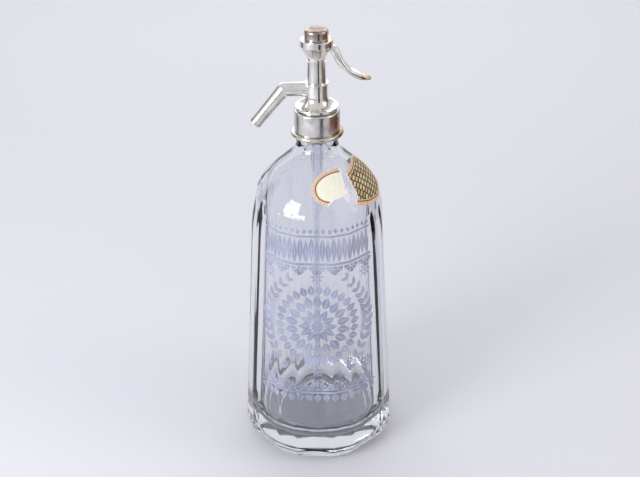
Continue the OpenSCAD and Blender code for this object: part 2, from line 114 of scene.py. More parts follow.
def densePath(points, longest):
    # puts points along each straight stretch that is longer than the longest step
    out = [points[0]]
    for a, b in zip(points[:-1], points[1:]):
        count = max(1, int(np.ceil(np.linalg.norm(b - a) / longest)))
        out.extend(a + (b - a) * k / count for k in range(1, count + 1))
    return np.array(out)


def makeMesh(name, points, quads, triangles=(), sharp=None):
    # points are in millimetres; quads and triangles are arrays of point numbers
    mesh = bpy.data.meshes.new(name)
    faces = [list(map(int, face)) for face in quads] + [list(map(int, face)) for face in triangles]
    mesh.from_pydata((np.asarray(points) * mm).tolist(), [], faces)
    mesh.polygons.foreach_set("use_smooth", [True] * len(mesh.polygons))
    if sharp:
        mesh.set_sharp_from_angle(angle=math.radians(sharp))
    mesh.update()
    piece = bpy.data.objects.new(name, mesh)
    bpy.context.scene.collection.objects.link(piece)
    return piece


def gridQuads(rows, columns, closed, first=0):
    # point numbers of a rows by columns grid; closed joins the last column to the first
    j = np.arange(columns if closed else columns - 1)
    i = np.arange(rows - 1)[:, None]
    a = first + i * columns + j
    b = first + i * columns + (j + 1) % columns
    return np.stack([a, b, b + columns, a + columns], -1).reshape(-1, 4)


def closedTube(name, rings, poleStart=False, poleEnd=False, sharp=None):
    # rings is (rows, columns, 3), each ring closed on itself; a pole closes an end with a fan
    rows, columns, _ = rings.shape
    points = rings.reshape(-1, 3)
    quads = gridQuads(rows, columns, True)
    j = np.arange(columns)
    k = (j + 1) % columns
    fans = []
    if poleStart:
        points = np.vstack([points, rings[0].mean(0)])
        fans.append(np.stack([k, j, np.full(columns, len(points) - 1)], 1))
    if poleEnd:
        points = np.vstack([points, rings[-1].mean(0)])
        last = (rows - 1) * columns
        fans.append(np.stack([last + j, last + k, np.full(columns, len(points) - 1)], 1))
    return makeMesh(name, points, quads, np.vstack(fans) if fans else (), sharp)


def lathe(name, corners, sides=128, steps=8, closed=False, sharp=None):
    # a profile of radius and height turned once round the Z axis: (r cos t, r sin t, z).
    # An open profile starts and ends on the axis, where a pole closes it.
    path = roundedPath(corners, steps)
    path = np.vstack([path, path[:1]]) if closed else path[1:-1]
    angle = np.arange(sides) * tau / sides
    rings = np.stack([path[:, :1] * np.cos(angle), path[:, :1] * np.sin(angle),
                      np.repeat(path[:, 1:], sides, 1)], -1)
    return closedTube(name, rings, not closed, not closed, sharp)


def nodeBox(node):
    # lowest and highest corners of a CAD node, in millimetres
    low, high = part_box(node)
    return np.array(low) / mm, np.array(high) / mm


def finishPiece(piece, body, material, slot, *replaced):
    piece.data.materials.clear()
    piece.data.materials.append(material)
    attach(piece, body)
    if replaced:
        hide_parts(*replaced)


# ---- camera and studio

# The camera stands where the photographed ellipses put it, for a siphon 318 mm high
view = dict(x=1.4, back=618, height=524, down=30.3, roll=-0.45, lens=56.25, sensor=36)
cameraData = bpy.data.cameras.new("camera")
cameraData.lens = view["lens"]
cameraData.sensor_width = view["sensor"]
camera = bpy.data.objects.new("camera", cameraData)
camera.matrix_world = (Matrix.Translation((view["x"] * mm, -view["back"] * mm, view["height"] * mm))
                       @ Matrix.Rotation(math.radians(90 - view["down"]), 4, "X")
                       @ Matrix.Rotation(math.radians(view["roll"]), 4, "Z"))
bpy.context.scene.collection.objects.link(camera)
bpy.context.scene.camera = camera
bpy.context.scene.view_settings.view_transform = "Standard"

studio = dict(floor="#dcdce2", floorHalf=3.0, backdrop="#e4e5ea", worldLevel=0.78,
              skyFrom=-0.35, skyTo=0.75,  # upward parts of a direction, between which the sky changes
              sky=[(0.0, "#8d8f98"), (0.42, "#bcbfc9"), (0.62, "#e9ebf1"), (1.0, "#f4f5f9")])


def addArea(name, place, aim, size, power, color="#ffffff"):
    # a lamp with its place, aim and size in metres and its power in watts
    data = bpy.data.lights.new(name, "AREA")
    data.shape = "RECTANGLE"
    data.size, data.size_y = size
    data.energy = power
    data.color = linearColor(color)[:3]
    lamp = bpy.data.objects.new(name, data)
    lamp.location = place
    toward = np.array(aim) - np.array(place)
    lamp.rotation_euler = Vector(toward).to_track_quat("-Z", "Y").to_euler()
    bpy.context.scene.collection.objects.link(lamp)
    return lamp


# Two window panes at the upper left, a broad soft fill at the right and a wide lamp high behind,
# which doesn't show through the glass
addArea("windowLeft", (-0.78, -0.53, 0.50), (0, 0, 0.2), (0.19, 0.35), 2.7)
addArea("windowRight", (-0.64, -0.69, 0.50), (0, 0, 0.2), (0.19, 0.35), 2.7)
addArea("fillRight", (1.1, -0.3, 0.7), (0, 0, 0.15), (0.5, 1.0), 3.0, "#fff3e6")
backSoft = addArea("backSoft", (-0.1, 1.3, 0.95), (0, 0, 0.2), (2.0, 0.9), 7.0)
backSoft.visible_transmission = False

world = bpy.data.worlds.new("studioWorld")
world.use_nodes = True
bpy.context.scene.world = world
worldTree = world.node_tree
background = worldTree.nodes["Background"]
direction = addNode(worldTree, "ShaderNodeTexCoord").outputs["Generated"]
height = addNode(worldTree, "ShaderNodeSeparateXYZ", inputs={0: direction}).outputs["Z"]
heightRange = addNode(worldTree, "ShaderNodeMapRange",
                      inputs={0: height, 1: studio["skyFrom"], 2: studio["skyTo"]}).outputs[0]
sky = rampNode(worldTree, heightRange, studio["sky"])
# Camera, metal and glass all see the same pale backdrop; only diffuse light comes from the sky
path = addNode(worldTree, "ShaderNodeLightPath").outputs
seen = path["Is Camera Ray"]
for ray in ("Is Glossy Ray", "Is Transmission Ray"):
    seen = addNode(worldTree, "ShaderNodeMath", {"operation": "MAXIMUM"}, {0: seen, 1: path[ray]}).outputs[0]
backdrop = addNode(worldTree, "ShaderNodeMix", {"data_type": "RGBA"},
                   {"Factor": seen, 6: sky, 7: linearColor(studio["backdrop"])}).outputs[2]
strength = addNode(worldTree, "ShaderNodeMapRange",
                   inputs={0: seen, 3: studio["worldLevel"], 4: 1.0}).outputs[0]
worldTree.links.new(strength, background.inputs["Strength"])
worldTree.links.new(backdrop, background.inputs["Color"])

floorMesh = bpy.data.meshes.new("floor")
edge = studio["floorHalf"]
floorMesh.from_pydata([(-edge, -edge, 0), (edge, -edge, 0), (edge, edge, 0), (-edge, edge, 0)],
                      [], [(0, 1, 2, 3)])
floor = bpy.data.objects.new("floor", floorMesh)
bpy.context.scene.collection.objects.link(floor)
floorMaterial, _, floorShader = newMaterial("palePaper")
floorShader.inputs["Base Color"].default_value = linearColor(studio["floor"])
floorShader.inputs["Roughness"].default_value = 0.8
floorMesh.materials.append(floorMaterial)


def addCard(name, azimuth, distance, width, low, high, color):
    # A flat upright card facing the object. Azimuth is from the front, to the right, in degrees;
    # the other sizes are in metres. It shows in metal and glass only and throws no shadow.
    a = math.radians(azimuth)
    out = np.array([math.sin(a), -math.cos(a), 0]) * distance
    side = np.array([math.cos(a), math.sin(a), 0]) * width / 2
    corners = [out - side, out + side, out + side, out - side]
    for corner, z in zip(corners, (low, low, high, high)):
        corner[2] = z
    mesh = bpy.data.meshes.new(name)
    mesh.from_pydata([corner.tolist() for corner in corners], [], [(0, 1, 2, 3)])
    card = bpy.data.objects.new(name, mesh)
    bpy.context.scene.collection.objects.link(card)
    material, _, shader = newMaterial(name + "Card")
    shader.inputs["Base Color"].default_value = linearColor(color)
    shader.inputs["Roughness"].default_value = 0.9
    mesh.materials.append(material)
    card.visible_camera = False
    card.visible_diffuse = False
    card.visible_shadow = False


# All four stand outside the main view's frame
addCard("frontDark", 22, 0.42, 0.12, 0.0, 0.42, "#15171f")
addCard("rightWarm", 88, 0.5, 0.5, 0.0, 0.34, "#8c7262")
addCard("leftDark", -112, 0.52, 0.16, 0.0, 0.45, "#262a36")
addCard("rightDark", 112, 0.52, 0.16, 0.0, 0.45, "#262a36")
print("studio and camera are set")


# ---- materials

def pressedGlass():
    # Old pressed soda-lime glass: clear, a little grey and lavender, with slow waves in its surface
    values = dict(tint="#f3f4f8", ior=1.52, roughness=0.015, waveScale=38.0, waveDepth=0.00022,
                  waveStretch=0.45, waveStrength=0.6)
    material, tree, shader = newMaterial("pressedSodaGlass")
    place = addNode(tree, "ShaderNodeTexCoord").outputs["Object"]
    stretched = addNode(tree, "ShaderNodeMapping", inputs={"Vector": place,
                        "Scale": (1, 1, values["waveStretch"])})
    waves = addNode(tree, "ShaderNodeTexNoise", inputs={"Vector": stretched.outputs[0],
                    "Scale": values["waveScale"], "Detail": 1.5})
    bump = addNode(tree, "ShaderNodeBump", inputs={"Height": waves.outputs[0],
                   "Distance": values["waveDepth"], "Strength": values["waveStrength"]})
    tree.links.new(bump.outputs[0], shader.inputs["Normal"])
    shader.inputs["Base Color"].default_value = linearColor(values["tint"])
    shader.inputs["Roughness"].default_value = values["roughness"]
    shader.inputs["IOR"].default_value = values["ior"]
    shader.inputs["Transmission Weight"].default_value = 1.0
    return material


def tubeGlass():
    # Drawn glass tube: clear and even
    material, _, shader = newMaterial("drawnGlassTube")
    shader.inputs["Base Color"].default_value = linearColor("#f4f6fa")
    shader.inputs["Roughness"].default_value = 0.01
    shader.inputs["IOR"].default_value = 1.47
    shader.inputs["Transmission Weight"].default_value = 1.0
    return material


def etchedFrost():
    # Acid-etched glass: a fine matt lavender-grey skin, a little see-through, with cloudy strength
    values = dict(low="#9497b2", high="#b3b6cf", roughness=0.6, grain=900.0, grainDepth=0.00005,
                  cloud=45.0, cover=(0.72, 0.95))
    material, tree, shader = newMaterial("acidEtchedGlass")
    place = addNode(tree, "ShaderNodeTexCoord").outputs["Object"]
    grain = addNode(tree, "ShaderNodeTexNoise",
                    inputs={"Vector": place, "Scale": values["grain"]}).outputs[0]
    cloud = addNode(tree, "ShaderNodeTexNoise", inputs={"Vector": place, "Scale": values["cloud"],
                    "Detail": 3.0}).outputs[0]
    shade = rampNode(tree, cloud, [(0.3, values["low"]), (0.7, values["high"])])
    cover = addNode(tree, "ShaderNodeMapRange", inputs={0: cloud, 1: 0.3, 2: 0.6,
                    3: values["cover"][0], 4: values["cover"][1]}).outputs[0]
    bump = addNode(tree, "ShaderNodeBump", inputs={"Height": grain, "Distance": values["grainDepth"]})
    tree.links.new(shade, shader.inputs["Base Color"])
    tree.links.new(cover, shader.inputs["Alpha"])
    tree.links.new(bump.outputs[0], shader.inputs["Normal"])
    shader.inputs["Roughness"].default_value = values["roughness"]
    return material


# noise scales per metre, and the depth of the fine specks in metres
plating = dict(haze=130.0, speck=700.0, patch=210.0, speckDepth=0.00002, speckStrength=0.5)


def nickelPlate(name, clean, dull, paintedReflectionColor, paintedReflectionPlace=(0, 0, 0), paintedReflectionReach=0.0, roughness=0.16):
    # Nickel plate on cast brass: bright, with a fine handling haze and a painted copper-brown reflection
    # in brass-brown: strong near its given place (metres), it fades over the given reach.
    material, tree, shader = newMaterial(name)
    place = addNode(tree, "ShaderNodeTexCoord").outputs["Object"]
    haze = addNode(tree, "ShaderNodeTexNoise",
                   inputs={"Vector": place, "Scale": plating["haze"], "Detail": 6.0})
    speck = addNode(tree, "ShaderNodeTexNoise",
                    inputs={"Vector": place, "Scale": plating["speck"], "Detail": 4.0})
    plated = rampNode(tree, haze.outputs[0], [(0.35, dull), (0.62, clean)])
    toPaintedReflection = addNode(tree, "ShaderNodeVectorMath", {"operation": "DISTANCE"},
                     {0: place, 1: paintedReflectionPlace}).outputs["Value"]
    near = addNode(tree, "ShaderNodeMapRange", inputs={0: toPaintedReflection, 1: 0.0, 2: max(paintedReflectionReach, 1e-4),
                   3: 1.0, 4: 0.0}).outputs[0]
    patch = addNode(tree, "ShaderNodeTexNoise",
                    inputs={"Vector": place, "Scale": plating["patch"], "Detail": 5.0})
    patchy = addNode(tree, "ShaderNodeMath", {"operation": "MULTIPLY"}, {0: near, 1: patch.outputs[0]})
    spread = addNode(tree, "ShaderNodeMapRange", inputs={0: patchy.outputs[0], 1: 0.12, 2: 0.42}).outputs[0]
    # lays the painted copper-brown reflection over the plating
    mixed = addNode(tree, "ShaderNodeMix", {"data_type": "RGBA"},
                    {"Factor": spread, 6: plated, 7: linearColor(paintedReflectionColor)})
    tree.links.new(mixed.outputs[2], shader.inputs["Base Color"])
    rough = addNode(tree, "ShaderNodeMapRange", inputs={0: haze.outputs[0], 1: 0.3, 2: 0.7,
                    3: roughness * 1.5, 4: roughness * 0.7})
    tree.links.new(rough.outputs[0], shader.inputs["Roughness"])
    bump = addNode(tree, "ShaderNodeBump", inputs={"Height": speck.outputs[0],
                   "Distance": plating["speckDepth"], "Strength": plating["speckStrength"]})
    tree.links.new(bump.outputs[0], shader.inputs["Normal"])
    shader.inputs["Metallic"].default_value = 1.0
    return material


def plainMetal(name, low, high, roughness, scale=300.0):
    # Turned or drawn metal: its colour drifts a little over fine marks
    material, tree, shader = newMaterial(name)
    place = addNode(tree, "ShaderNodeTexCoord").outputs["Object"]
    marks = addNode(tree, "ShaderNodeTexNoise", inputs={"Vector": place, "Scale": scale, "Detail": 4.0})
    tree.links.new(rampNode(tree, marks.outputs[0], [(0.3, low), (0.7, high)]), shader.inputs["Base Color"])
    shader.inputs["Metallic"].default_value = 1.0
    shader.inputs["Roughness"].default_value = roughness
    return material


def mouldedRubber():
    # Moulded rubber, aged: near black with a grey bloom
    material, tree, shader = newMaterial("mouldedRubber")
    place = addNode(tree, "ShaderNodeTexCoord").outputs["Object"]
    bloom = addNode(tree, "ShaderNodeTexNoise", inputs={"Vector": place, "Scale": 400.0, "Detail": 4.0})
    tree.links.new(rampNode(tree, bloom.outputs[0], [(0.3, "#1b1a1a"), (0.75, "#33302e")]),
                   shader.inputs["Base Color"])
    shader.inputs["Roughness"].default_value = 0.7
    return material


glassMaterial = pressedGlass()
tubeMaterial = tubeGlass()
frostMaterial = etchedFrost()
brassMaterial = plainMetal("turnedBrass", "#a9873f", "#c9a75c", 0.3)
steelMaterial = plainMetal("drawnSteel", "#8e8e8c", "#b5b4b0", 0.25)
rubberMaterial = mouldedRubber()

materialOfSlot = {"bare_brass": brassMaterial, "steel_rod": steelMaterial,
                  "black_rubber": rubberMaterial, "clear_glass": tubeMaterial}
for row in frame["record"]["subparts"]:
    material = materialOfSlot.get(row["material_slot"])
    if material:
        cadPiece = frame["nodes"][row["node"]]
        for i in range(len(cadPiece.material_slots)):
            cadPiece.material_slots[i].material = material
print("materials are made")


# ---- bottle

glass = dict(
    footR=50.3, heelZ=10, heelR=57.8, heelRound=8.5,
    shoulderZ=207, shoulderR=45.7, shoulderRound=44,
    neckZ=236, neckR=14, neckRound=12, ledgeZ=245.2,
    grooveR=10.2, grooveH=5.8, lipR=12.2, lipH=5.5,
    wall=5.5, floorT=14, floorRound=22, puntDepth=2.5, puntR=38, mouthR=7,
    flats=8, wideAngle=30.5, turn=-3.4, wideTop=208, narrowTop=205, cornerSoft=0.4)


def bottleOutline():
    g = glass
    return roundedPath([(g["footR"], 0), (g["heelR"], g["heelZ"], g["heelRound"]),
                        (g["shoulderR"], g["shoulderZ"], g["shoulderRound"]),
                        (g["neckR"], g["neckZ"], g["neckRound"]), (g["neckR"], g["ledgeZ"])], 40)


def flatRadius(z, half, topZ, roundPath):
    # distance of a flat's plane from the axis at height z: the barrel's line times cos(half),
    # leaning in near its top so that it runs out of the round shoulder at topZ
    g = glass
    lean = (g["heelR"] - g["shoulderR"]) / (g["shoulderZ"] - g["heelZ"])
    inset = math.cos(half)
    leanZ = topZ - g["shoulderRound"] / 2
    leanR = (g["heelR"] - lean * (leanZ - g["heelZ"])) * inset
    topR = np.interp(topZ, roundPath[:, 1], roundPath[:, 0])
    slope = (topR - leanR) / (topZ - leanZ)
    edge = roundedPath([(g["footR"] * inset, 0), (g["heelR"] * inset, g["heelZ"], g["heelRound"]),
                        (leanR, leanZ, 2 * g["shoulderRound"]),
                        (leanR + slope * 60, leanZ + 60)], 24)
    return np.interp(z, edge[:, 1], edge[:, 0])


def softMin(a, b, k):
    # the lesser of a and b, rounded where they are within k of each other
    h = np.clip(k - np.abs(a - b), 0, None) / k
    return np.minimum(a, b) - h * h * k / 4


roundOutline = bottleOutline()


def glassRadius(angle, z):
    # radius of the outside at an angle and a height: the least of the round shoulder, the wide
    # flats and the narrow flats, each flat being its plane's distance over the cosine from its middle
    g = glass
    pair = tau / g["flats"]
    wideHalf = math.radians(g["wideAngle"]) / 2
    narrowHalf = pair / 2 - wideHalf
    middle = math.radians(g["turn"] - 90)
    fromWide = (angle - middle + pair / 2) % pair - pair / 2
    fromNarrow = (angle - middle) % pair - pair / 2
    round_ = np.interp(z, roundOutline[:, 1], roundOutline[:, 0])
    wide = flatRadius(z, wideHalf, g["wideTop"], roundOutline) / np.cos(fromWide)
    narrow = flatRadius(z, narrowHalf, g["narrowTop"], roundOutline) / np.cos(fromNarrow)
    radius = softMin(wide, narrow, g["cornerSoft"])
    return np.where(z < g["neckZ"], softMin(radius, round_, g["cornerSoft"]), round_)


def makeBottle():
    g = glass
    columns = 384
    angle = np.arange(columns) * tau / columns
    outline = densePath(roundOutline, 7.0)
    body = np.stack([glassRadius(angle, np.full(columns, z)) for z in outline[:, 1]])
    # foot: from the hollow's middle out to the edge, the last ring being the foot's polygon
    under = densePath(roundedPath([(0, g["puntDepth"]), (g["puntR"], g["puntDepth"], 8),
                                   (g["puntR"] + 2.5, 0, 1.0), (g["footR"] * 0.955, 0)], 6), 8.0)[1:]
    # neck finish, mouth and the inside, all round
    slope = (g["shoulderR"] - g["neckR"]) / (g["neckZ"] - g["shoulderZ"])
    lean = (g["heelR"] - g["shoulderR"]) / (g["shoulderZ"] - g["heelZ"])
    inset = math.cos(math.radians(g["wideAngle"] / 2))
    innerHeelR = g["heelR"] * inset - g["wall"]
    innerBase = g["shoulderR"] - g["wall"] * math.sqrt(1 + slope * slope)
    meet = (innerBase - innerHeelR + lean * inset * (g["shoulderZ"] - g["heelZ"])) / (slope - lean * inset)
    innerNeckZ = g["shoulderZ"] + (innerBase - g["mouthR"]) / slope
    lipZ = g["ledgeZ"] + g["grooveH"]
    mouthZ = lipZ + g["lipH"]
    finish = roundedPath([(g["neckR"], g["ledgeZ"]), (g["grooveR"], g["ledgeZ"]), (g["grooveR"], lipZ),
                          (g["lipR"], lipZ, 0.6), (g["lipR"], mouthZ, 1.2), (g["mouthR"], mouthZ, 0.8),
                          (g["mouthR"], innerNeckZ, g["neckRound"] - g["wall"]),
                          (innerBase - slope * meet, g["shoulderZ"] + meet, g["shoulderRound"] - g["wall"]),
                          (innerHeelR, g["floorT"], g["floorRound"]), (0, g["floorT"])], 16)[1:-1]
    finish = densePath(finish, 9.0)
    radii = np.vstack([np.repeat(under[:, :1], columns, 1), body, np.repeat(finish[:, :1], columns, 1)])
    heights = np.concatenate([under[:, 1], outline[:, 1], finish[:, 1]])
    rings = np.stack([radii * np.cos(angle), radii * np.sin(angle),
                      np.repeat(heights[:, None], columns, 1)], -1)
    return closedTube("glassBottle", rings, True, True, sharp=50)


bottle = makeBottle()
finishPiece(bottle, "siphon", glassMaterial, "clear_glass", "bottle")
print("bottle:", len(bottle.data.polygons), "faces")


# ---- neck ring, collar and cap: turned pieces

collarLow, collarHigh = nodeBox("collar")
ringLow, ringHigh = nodeBox("neck_ring")
capLow, capHigh = nodeBox("top_cap")

# places of the painted copper-brown reflections, in metres from the foot's middle
ringMaterial = nickelPlate("nickelNeckRing", "#dad6cc", "#bdb8ab", "#8a6a3a",
                           (0.017, -0.004, 0.247), 0.02, 0.2)
collarMaterial = nickelPlate("nickelCollar", "#d9d7d4", "#bcbab8", "#9a6f52",
                             (0.0145, -0.006, 0.254), 0.016, 0.2)
headMaterial = nickelPlate("nickelHead", "#e6e4df", "#cfccc6", "#a98443",
                           (0.0112, 0.0, 0.310), 0.012, 0.14)
capMaterial = nickelPlate("nickelCap", "#d6d0c8", "#b7aea4", "#75584a",
                          (0.0, 0.0, 0.3190), 0.017, 0.2)
leverMaterial = nickelPlate("nickelLever", "#e8e6e1", "#d0cdc7", "#8a6236",
                            (0.033, 0.0, 0.2875), 0.012, 0.14)
spoutMaterial = nickelPlate("nickelSpout", "#e6e4df", "#cfccc6", "#a98443",
                            (-0.0412, 0.0, 0.2529), 0.006, 0.14)

turned = dict(loose=12.45, thread=13.64, flange=1.4, beadRound=1.45,
              capBore=4.7, capThread=6.06, capTop=1.5, capRound=1.9, seatGap=0.04)
bead = roundedPath([(turned["loose"], ringLow[2]), (ringHigh[0], ringLow[2], turned["beadRound"]),
                    (ringHigh[0], ringHigh[2], turned["beadRound"]), (turned["loose"], ringHigh[2])], 12)
neckRing = lathe("neckRing", bead.tolist(), 160, closed=True, sharp=50)
finishPiece(neckRing, "siphon", ringMaterial, "plated_collar", "neck_ring")

collarCorners = [(turned["loose"], collarLow[2]), (collarHigh[0], collarLow[2], 0.4),
                 (collarHigh[0], collarHigh[2], 1.6), (turned["thread"], collarHigh[2]),
                 (turned["thread"], collarLow[2] + turned["flange"]),
                 (turned["loose"], collarLow[2] + turned["flange"])]
collar = lathe("collarSleeve", roundedPath(collarCorners, 12).tolist(), 160, closed=True, sharp=40)
finishPiece(collar, "siphon", collarMaterial, "plated_collar", "collar")

washerLow, washerHigh = nodeBox("cap_washer")
rebateR, rimZ = washerHigh[0] + turned["seatGap"], washerLow[2] + turned["seatGap"]
innerTop = capHigh[2] - turned["capTop"]
capCorners = [(0, innerTop), (turned["capBore"], innerTop), (turned["capBore"], capLow[2]),
              (turned["capThread"], capLow[2]), (turned["capThread"], washerHigh[2]),
              (rebateR, washerHigh[2]), (rebateR, rimZ), (capHigh[0], rimZ, 0.3),
              (capHigh[0], capHigh[2], turned["capRound"]), (0, capHigh[2])]
cap = lathe("headCap", capCorners, 128, sharp=40)
finishPiece(cap, "siphon", capMaterial, "plated_head", "top_cap")

for node, material in (("head_body", headMaterial), ("spout", spoutMaterial)):
    for slot in frame["nodes"][node].material_slots:
        slot.material = material
print("ring, collar and cap are made")


# ---- lever: an eye on the pin, a fork under the lifted collar and a hollowed blade

def joinGrids(grids):
    # stacks closed or open grids of points into one list of points, quads and fans
    points, quads, fans, first = [], [], [], 0
    for ringsOrSkin, closed, capped in grids:
        rows, columns, _ = ringsOrSkin.shape
        points.append(ringsOrSkin.reshape(-1, 3))
        quads.append(gridQuads(rows, columns, closed, first))
        count = rows * columns
        if capped:
            j = np.arange(columns)
            k = (j + 1) % columns
            last = first + (rows - 1) * columns
            points.append(np.stack([ringsOrSkin[0].mean(0), ringsOrSkin[-1].mean(0)]))
            fans.append(np.stack([first + k, first + j, np.full(columns, first + count)], 1))
            fans.append(np.stack([last + j, last + k, np.full(columns, first + count + 1)], 1))
            count += 2
        first += count
    return np.vstack(points), np.vstack(quads), np.vstack(fans) if fans else ()


def roundedSquare(count, power):
    # points round a rounded square: sign(cos a) |cos a|^power, and the same for sin a
    a = np.arange(count) * tau / count
    return [np.sign(f) * np.abs(f) ** power for f in (np.cos(a), np.sin(a))]


def alongPath(path, fraction):
    # points at fractions of a path's length
    steps = np.concatenate([[0], np.cumsum(np.linalg.norm(np.diff(path, axis=0), axis=1))])
    return np.stack([np.interp(fraction * steps[-1], steps, path[:, k]) for k in (0, 1)], 1)


leverPlan = dict(pivotX=6.6, reach=29.4, fall=21.6, neckHalf=3.0, bladeHalf=4.9, eye=1.9, pinHole=0.96,
                 forkT=2.4, forkSlot=1.95, forkEnd=2.45, forkDrop=0.3, hollow=1.1, tipHalf=3.6,
                 bladeSquare=0.62, forkSquare=0.4, noseLength=3.4)
pinLow, pinHigh = nodeBox("lever_pin")
pivotZ = (pinLow[2] + pinHigh[2]) / 2


def makeLever():
    # Blade: sections across a path between the upper and the lower side outline. Each section is a
    # rounded square, half wide and thick high, its top lowered by hollow (1 - (y / half)^2).
    v = leverPlan
    reach, fall = v["reach"], v["fall"]
    upper = roundedPath([(0, v["eye"]), (6.4, v["eye"] - 1, 3.5), (0.486 * reach, -0.634 * fall, 13),
                         (reach - 0.4, 1.0 - fall)], 14)
    lower = roundedPath([(0, -v["eye"]), (3, -4, 1.5), (0.231 * reach, -0.542 * fall, 13),
                         (0.684 * reach, -0.8 - fall, 14), (reach - 0.3, -0.7 - fall)], 14)
    t = np.linspace(0, 1, 72)
    top, low = alongPath(upper, t), alongPath(lower, t)
    middle = (top + low) / 2
    across = top - low
    thick = np.linalg.norm(across, axis=1)
    across = across / thick[:, None]
    along = middle[:, 0]
    half = np.interp(along, [0, 4.4, 6.2, 8.4, 17, 24, reach],
                     [v["neckHalf"], v["neckHalf"], 3.9, v["bladeHalf"], v["bladeHalf"], 4.6, v["tipHalf"]])
    half = np.convolve(np.pad(half, 3, "edge"), np.ones(7) / 7, "valid")
    thin = np.interp(along, [0, 8, 16, 24, reach], [1, 1, 0.84, 0.78, 0.8])
    # the nose closes as a quarter circle over its last few millimetres
    nose = np.clip((reach - along) / v["noseLength"], 0.0, 1)
    close = np.sqrt(np.clip(1 - (1 - nose) ** 2, 0.0004, 1))
    half, thick = half * close, thick * thin * np.maximum(close, 0.3) ** 0.5
    dish = v["hollow"] * np.clip((along - 7) / 7, 0, 1) * close
    cy, sy = roundedSquare(40, v["bladeSquare"])
    y = half[:, None] * cy
    h = thick[:, None] / 2 * sy - dish[:, None] * (1 - cy ** 2) * (0.55 + 0.45 * sy)
    blade = np.stack([middle[:, :1] + across[:, :1] * h, y, middle[:, 1:] + across[:, 1:] * h], -1)
    # Eye: a ring round the pin. Fork: two prongs that reach past the spindle.
    ringAngle = np.arange(48) * tau / 48
    n = v["neckHalf"]
    profile = np.array([(v["pinHole"], -n), (v["eye"], -n), (v["eye"], n), (v["pinHole"], n),
                        (v["pinHole"], -n)])
    eye = np.stack([profile[:, :1] * np.cos(ringAngle), np.repeat(-profile[:, 1:], 48, 1),
                    profile[:, :1] * np.sin(ringAngle)], -1)
    prongs = []
    for sign in (-1, 1):
        x = np.linspace(-1.3, -v["pivotX"] - 1.1, 8)
        width = (n - v["forkSlot"]) / 2
        centre = sign * (n + v["forkSlot"]) / 2
        by, bz = roundedSquare(16, v["forkSquare"])
        round_ = np.sqrt(np.clip(1 - np.clip((-v["pivotX"] - x) / 1.15, 0, 1) ** 2, 0.02, 1))
        prongs.append(np.stack([np.repeat(x[:, None], 16, 1), np.repeat((centre + width * by)[None], 8, 0),
                                round_[:, None] * v["forkT"] / 2 * bz - v["forkDrop"]], -1))
    grids = [(blade[:, ::-1], True, True), (eye, True, False)] + [(p, True, True) for p in prongs]
    points, quads, fans = joinGrids(grids)
    return makeMesh("leverBlade", points + [v["pivotX"], 0, pivotZ], quads, fans, sharp=48)


lever = makeLever()
finishPiece(lever, "lever", leverMaterial, "plated_lever", "lever")
print("lever is made")


# ---- labels: one torn sheet in two pieces, laid on the shoulder

# Each outline starts along the printed edge; from point number torn on, the edge is a tear
paper = dict(
    glue=0.05, thick=0.15, curl=0.25, curlReach=1.6, tearNoise=0.28, cornerRound=3.0, edgeStep=0.45,
    left=dict(seed=5, turn=14, z=220, tilt=43, centre=(-1.2, 0.6), torn=10,
              outline=[(10.4, 13.2), (3.8, 12.2), (-1.3, 10.6), (-4.7, 9), (-8, 6.7), (-10.6, 3.5),
                       (-11.8, -0.8), (-11.5, -5.3), (-9.5, -9), (-6.1, -11.6), (-2.5, -12.8), (0.2, -10.6),
                       (3.3, -8.8), (6.2, -8.2), (13.1, -4.1), (10, -2.1), (11, 0.7), (10.5, 6.1)]),
    right=dict(seed=9, turn=58, z=218, tilt=40, centre=(6, 0), torn=16,
               outline=[(-6.4, 9.9), (-1.1, 11), (4.7, 13.3), (11.2, 16.5), (18, 17), (23, 14), (25.2, 8),
                        (25.2, 0), (23.5, -7.5), (20.5, -13), (16, -16.4), (11.3, -17.6), (4.8, -17.7),
                        (-1.2, -17.1), (-6.1, -15.6), (-10.9, -13.4), (-14.7, -11.2), (-11.4, -8.1),
                        (-10.2, -6.2), (-9.6, -2.4), (-8.7, 2.4), (-7.1, 7.4)]))


def ontoGlass(x, y, turn, z0, tilt, lift):
    # lays flat points (x along, y up the slope) on the glass: each goes along the sheet's normal
    # to where its radius is the glass's radius plus lift, found by halving
    lean = math.radians(90 - tilt)
    start = np.interp(z0, roundOutline[:, 1], roundOutline[:, 0])
    low, high = np.full(x.shape, -25.0), np.full(x.shape, 15.0)
    for _ in range(34):  # 40 mm halved 34 times is far below a micrometre
        w = (low + high) / 2
        px = start - y * math.cos(lean) + w * math.sin(lean)
        pz = z0 + y * math.sin(lean) + w * math.cos(lean)
        angle = np.arctan2(x, px) + math.radians(turn - 90)
        outside = np.hypot(px, x) > glassRadius(angle, pz) + lift
        high = np.where(outside, w, high)
        low = np.where(outside, low, w)
    radius = np.hypot(px, x)
    return np.stack([radius * np.cos(angle), radius * np.sin(angle), pz], -1)


def distanceToLine(points, line):
    # least distance from each point to a polyline
    best = np.full(len(points), 1e9)
    for a, b in zip(line[:-1], line[1:]):
        along = np.clip(((points - a) @ (b - a)) / ((b - a) @ (b - a)), 0, 1)
        best = np.minimum(best, np.linalg.norm(points - a - along[:, None] * (b - a), axis=1))
    return best


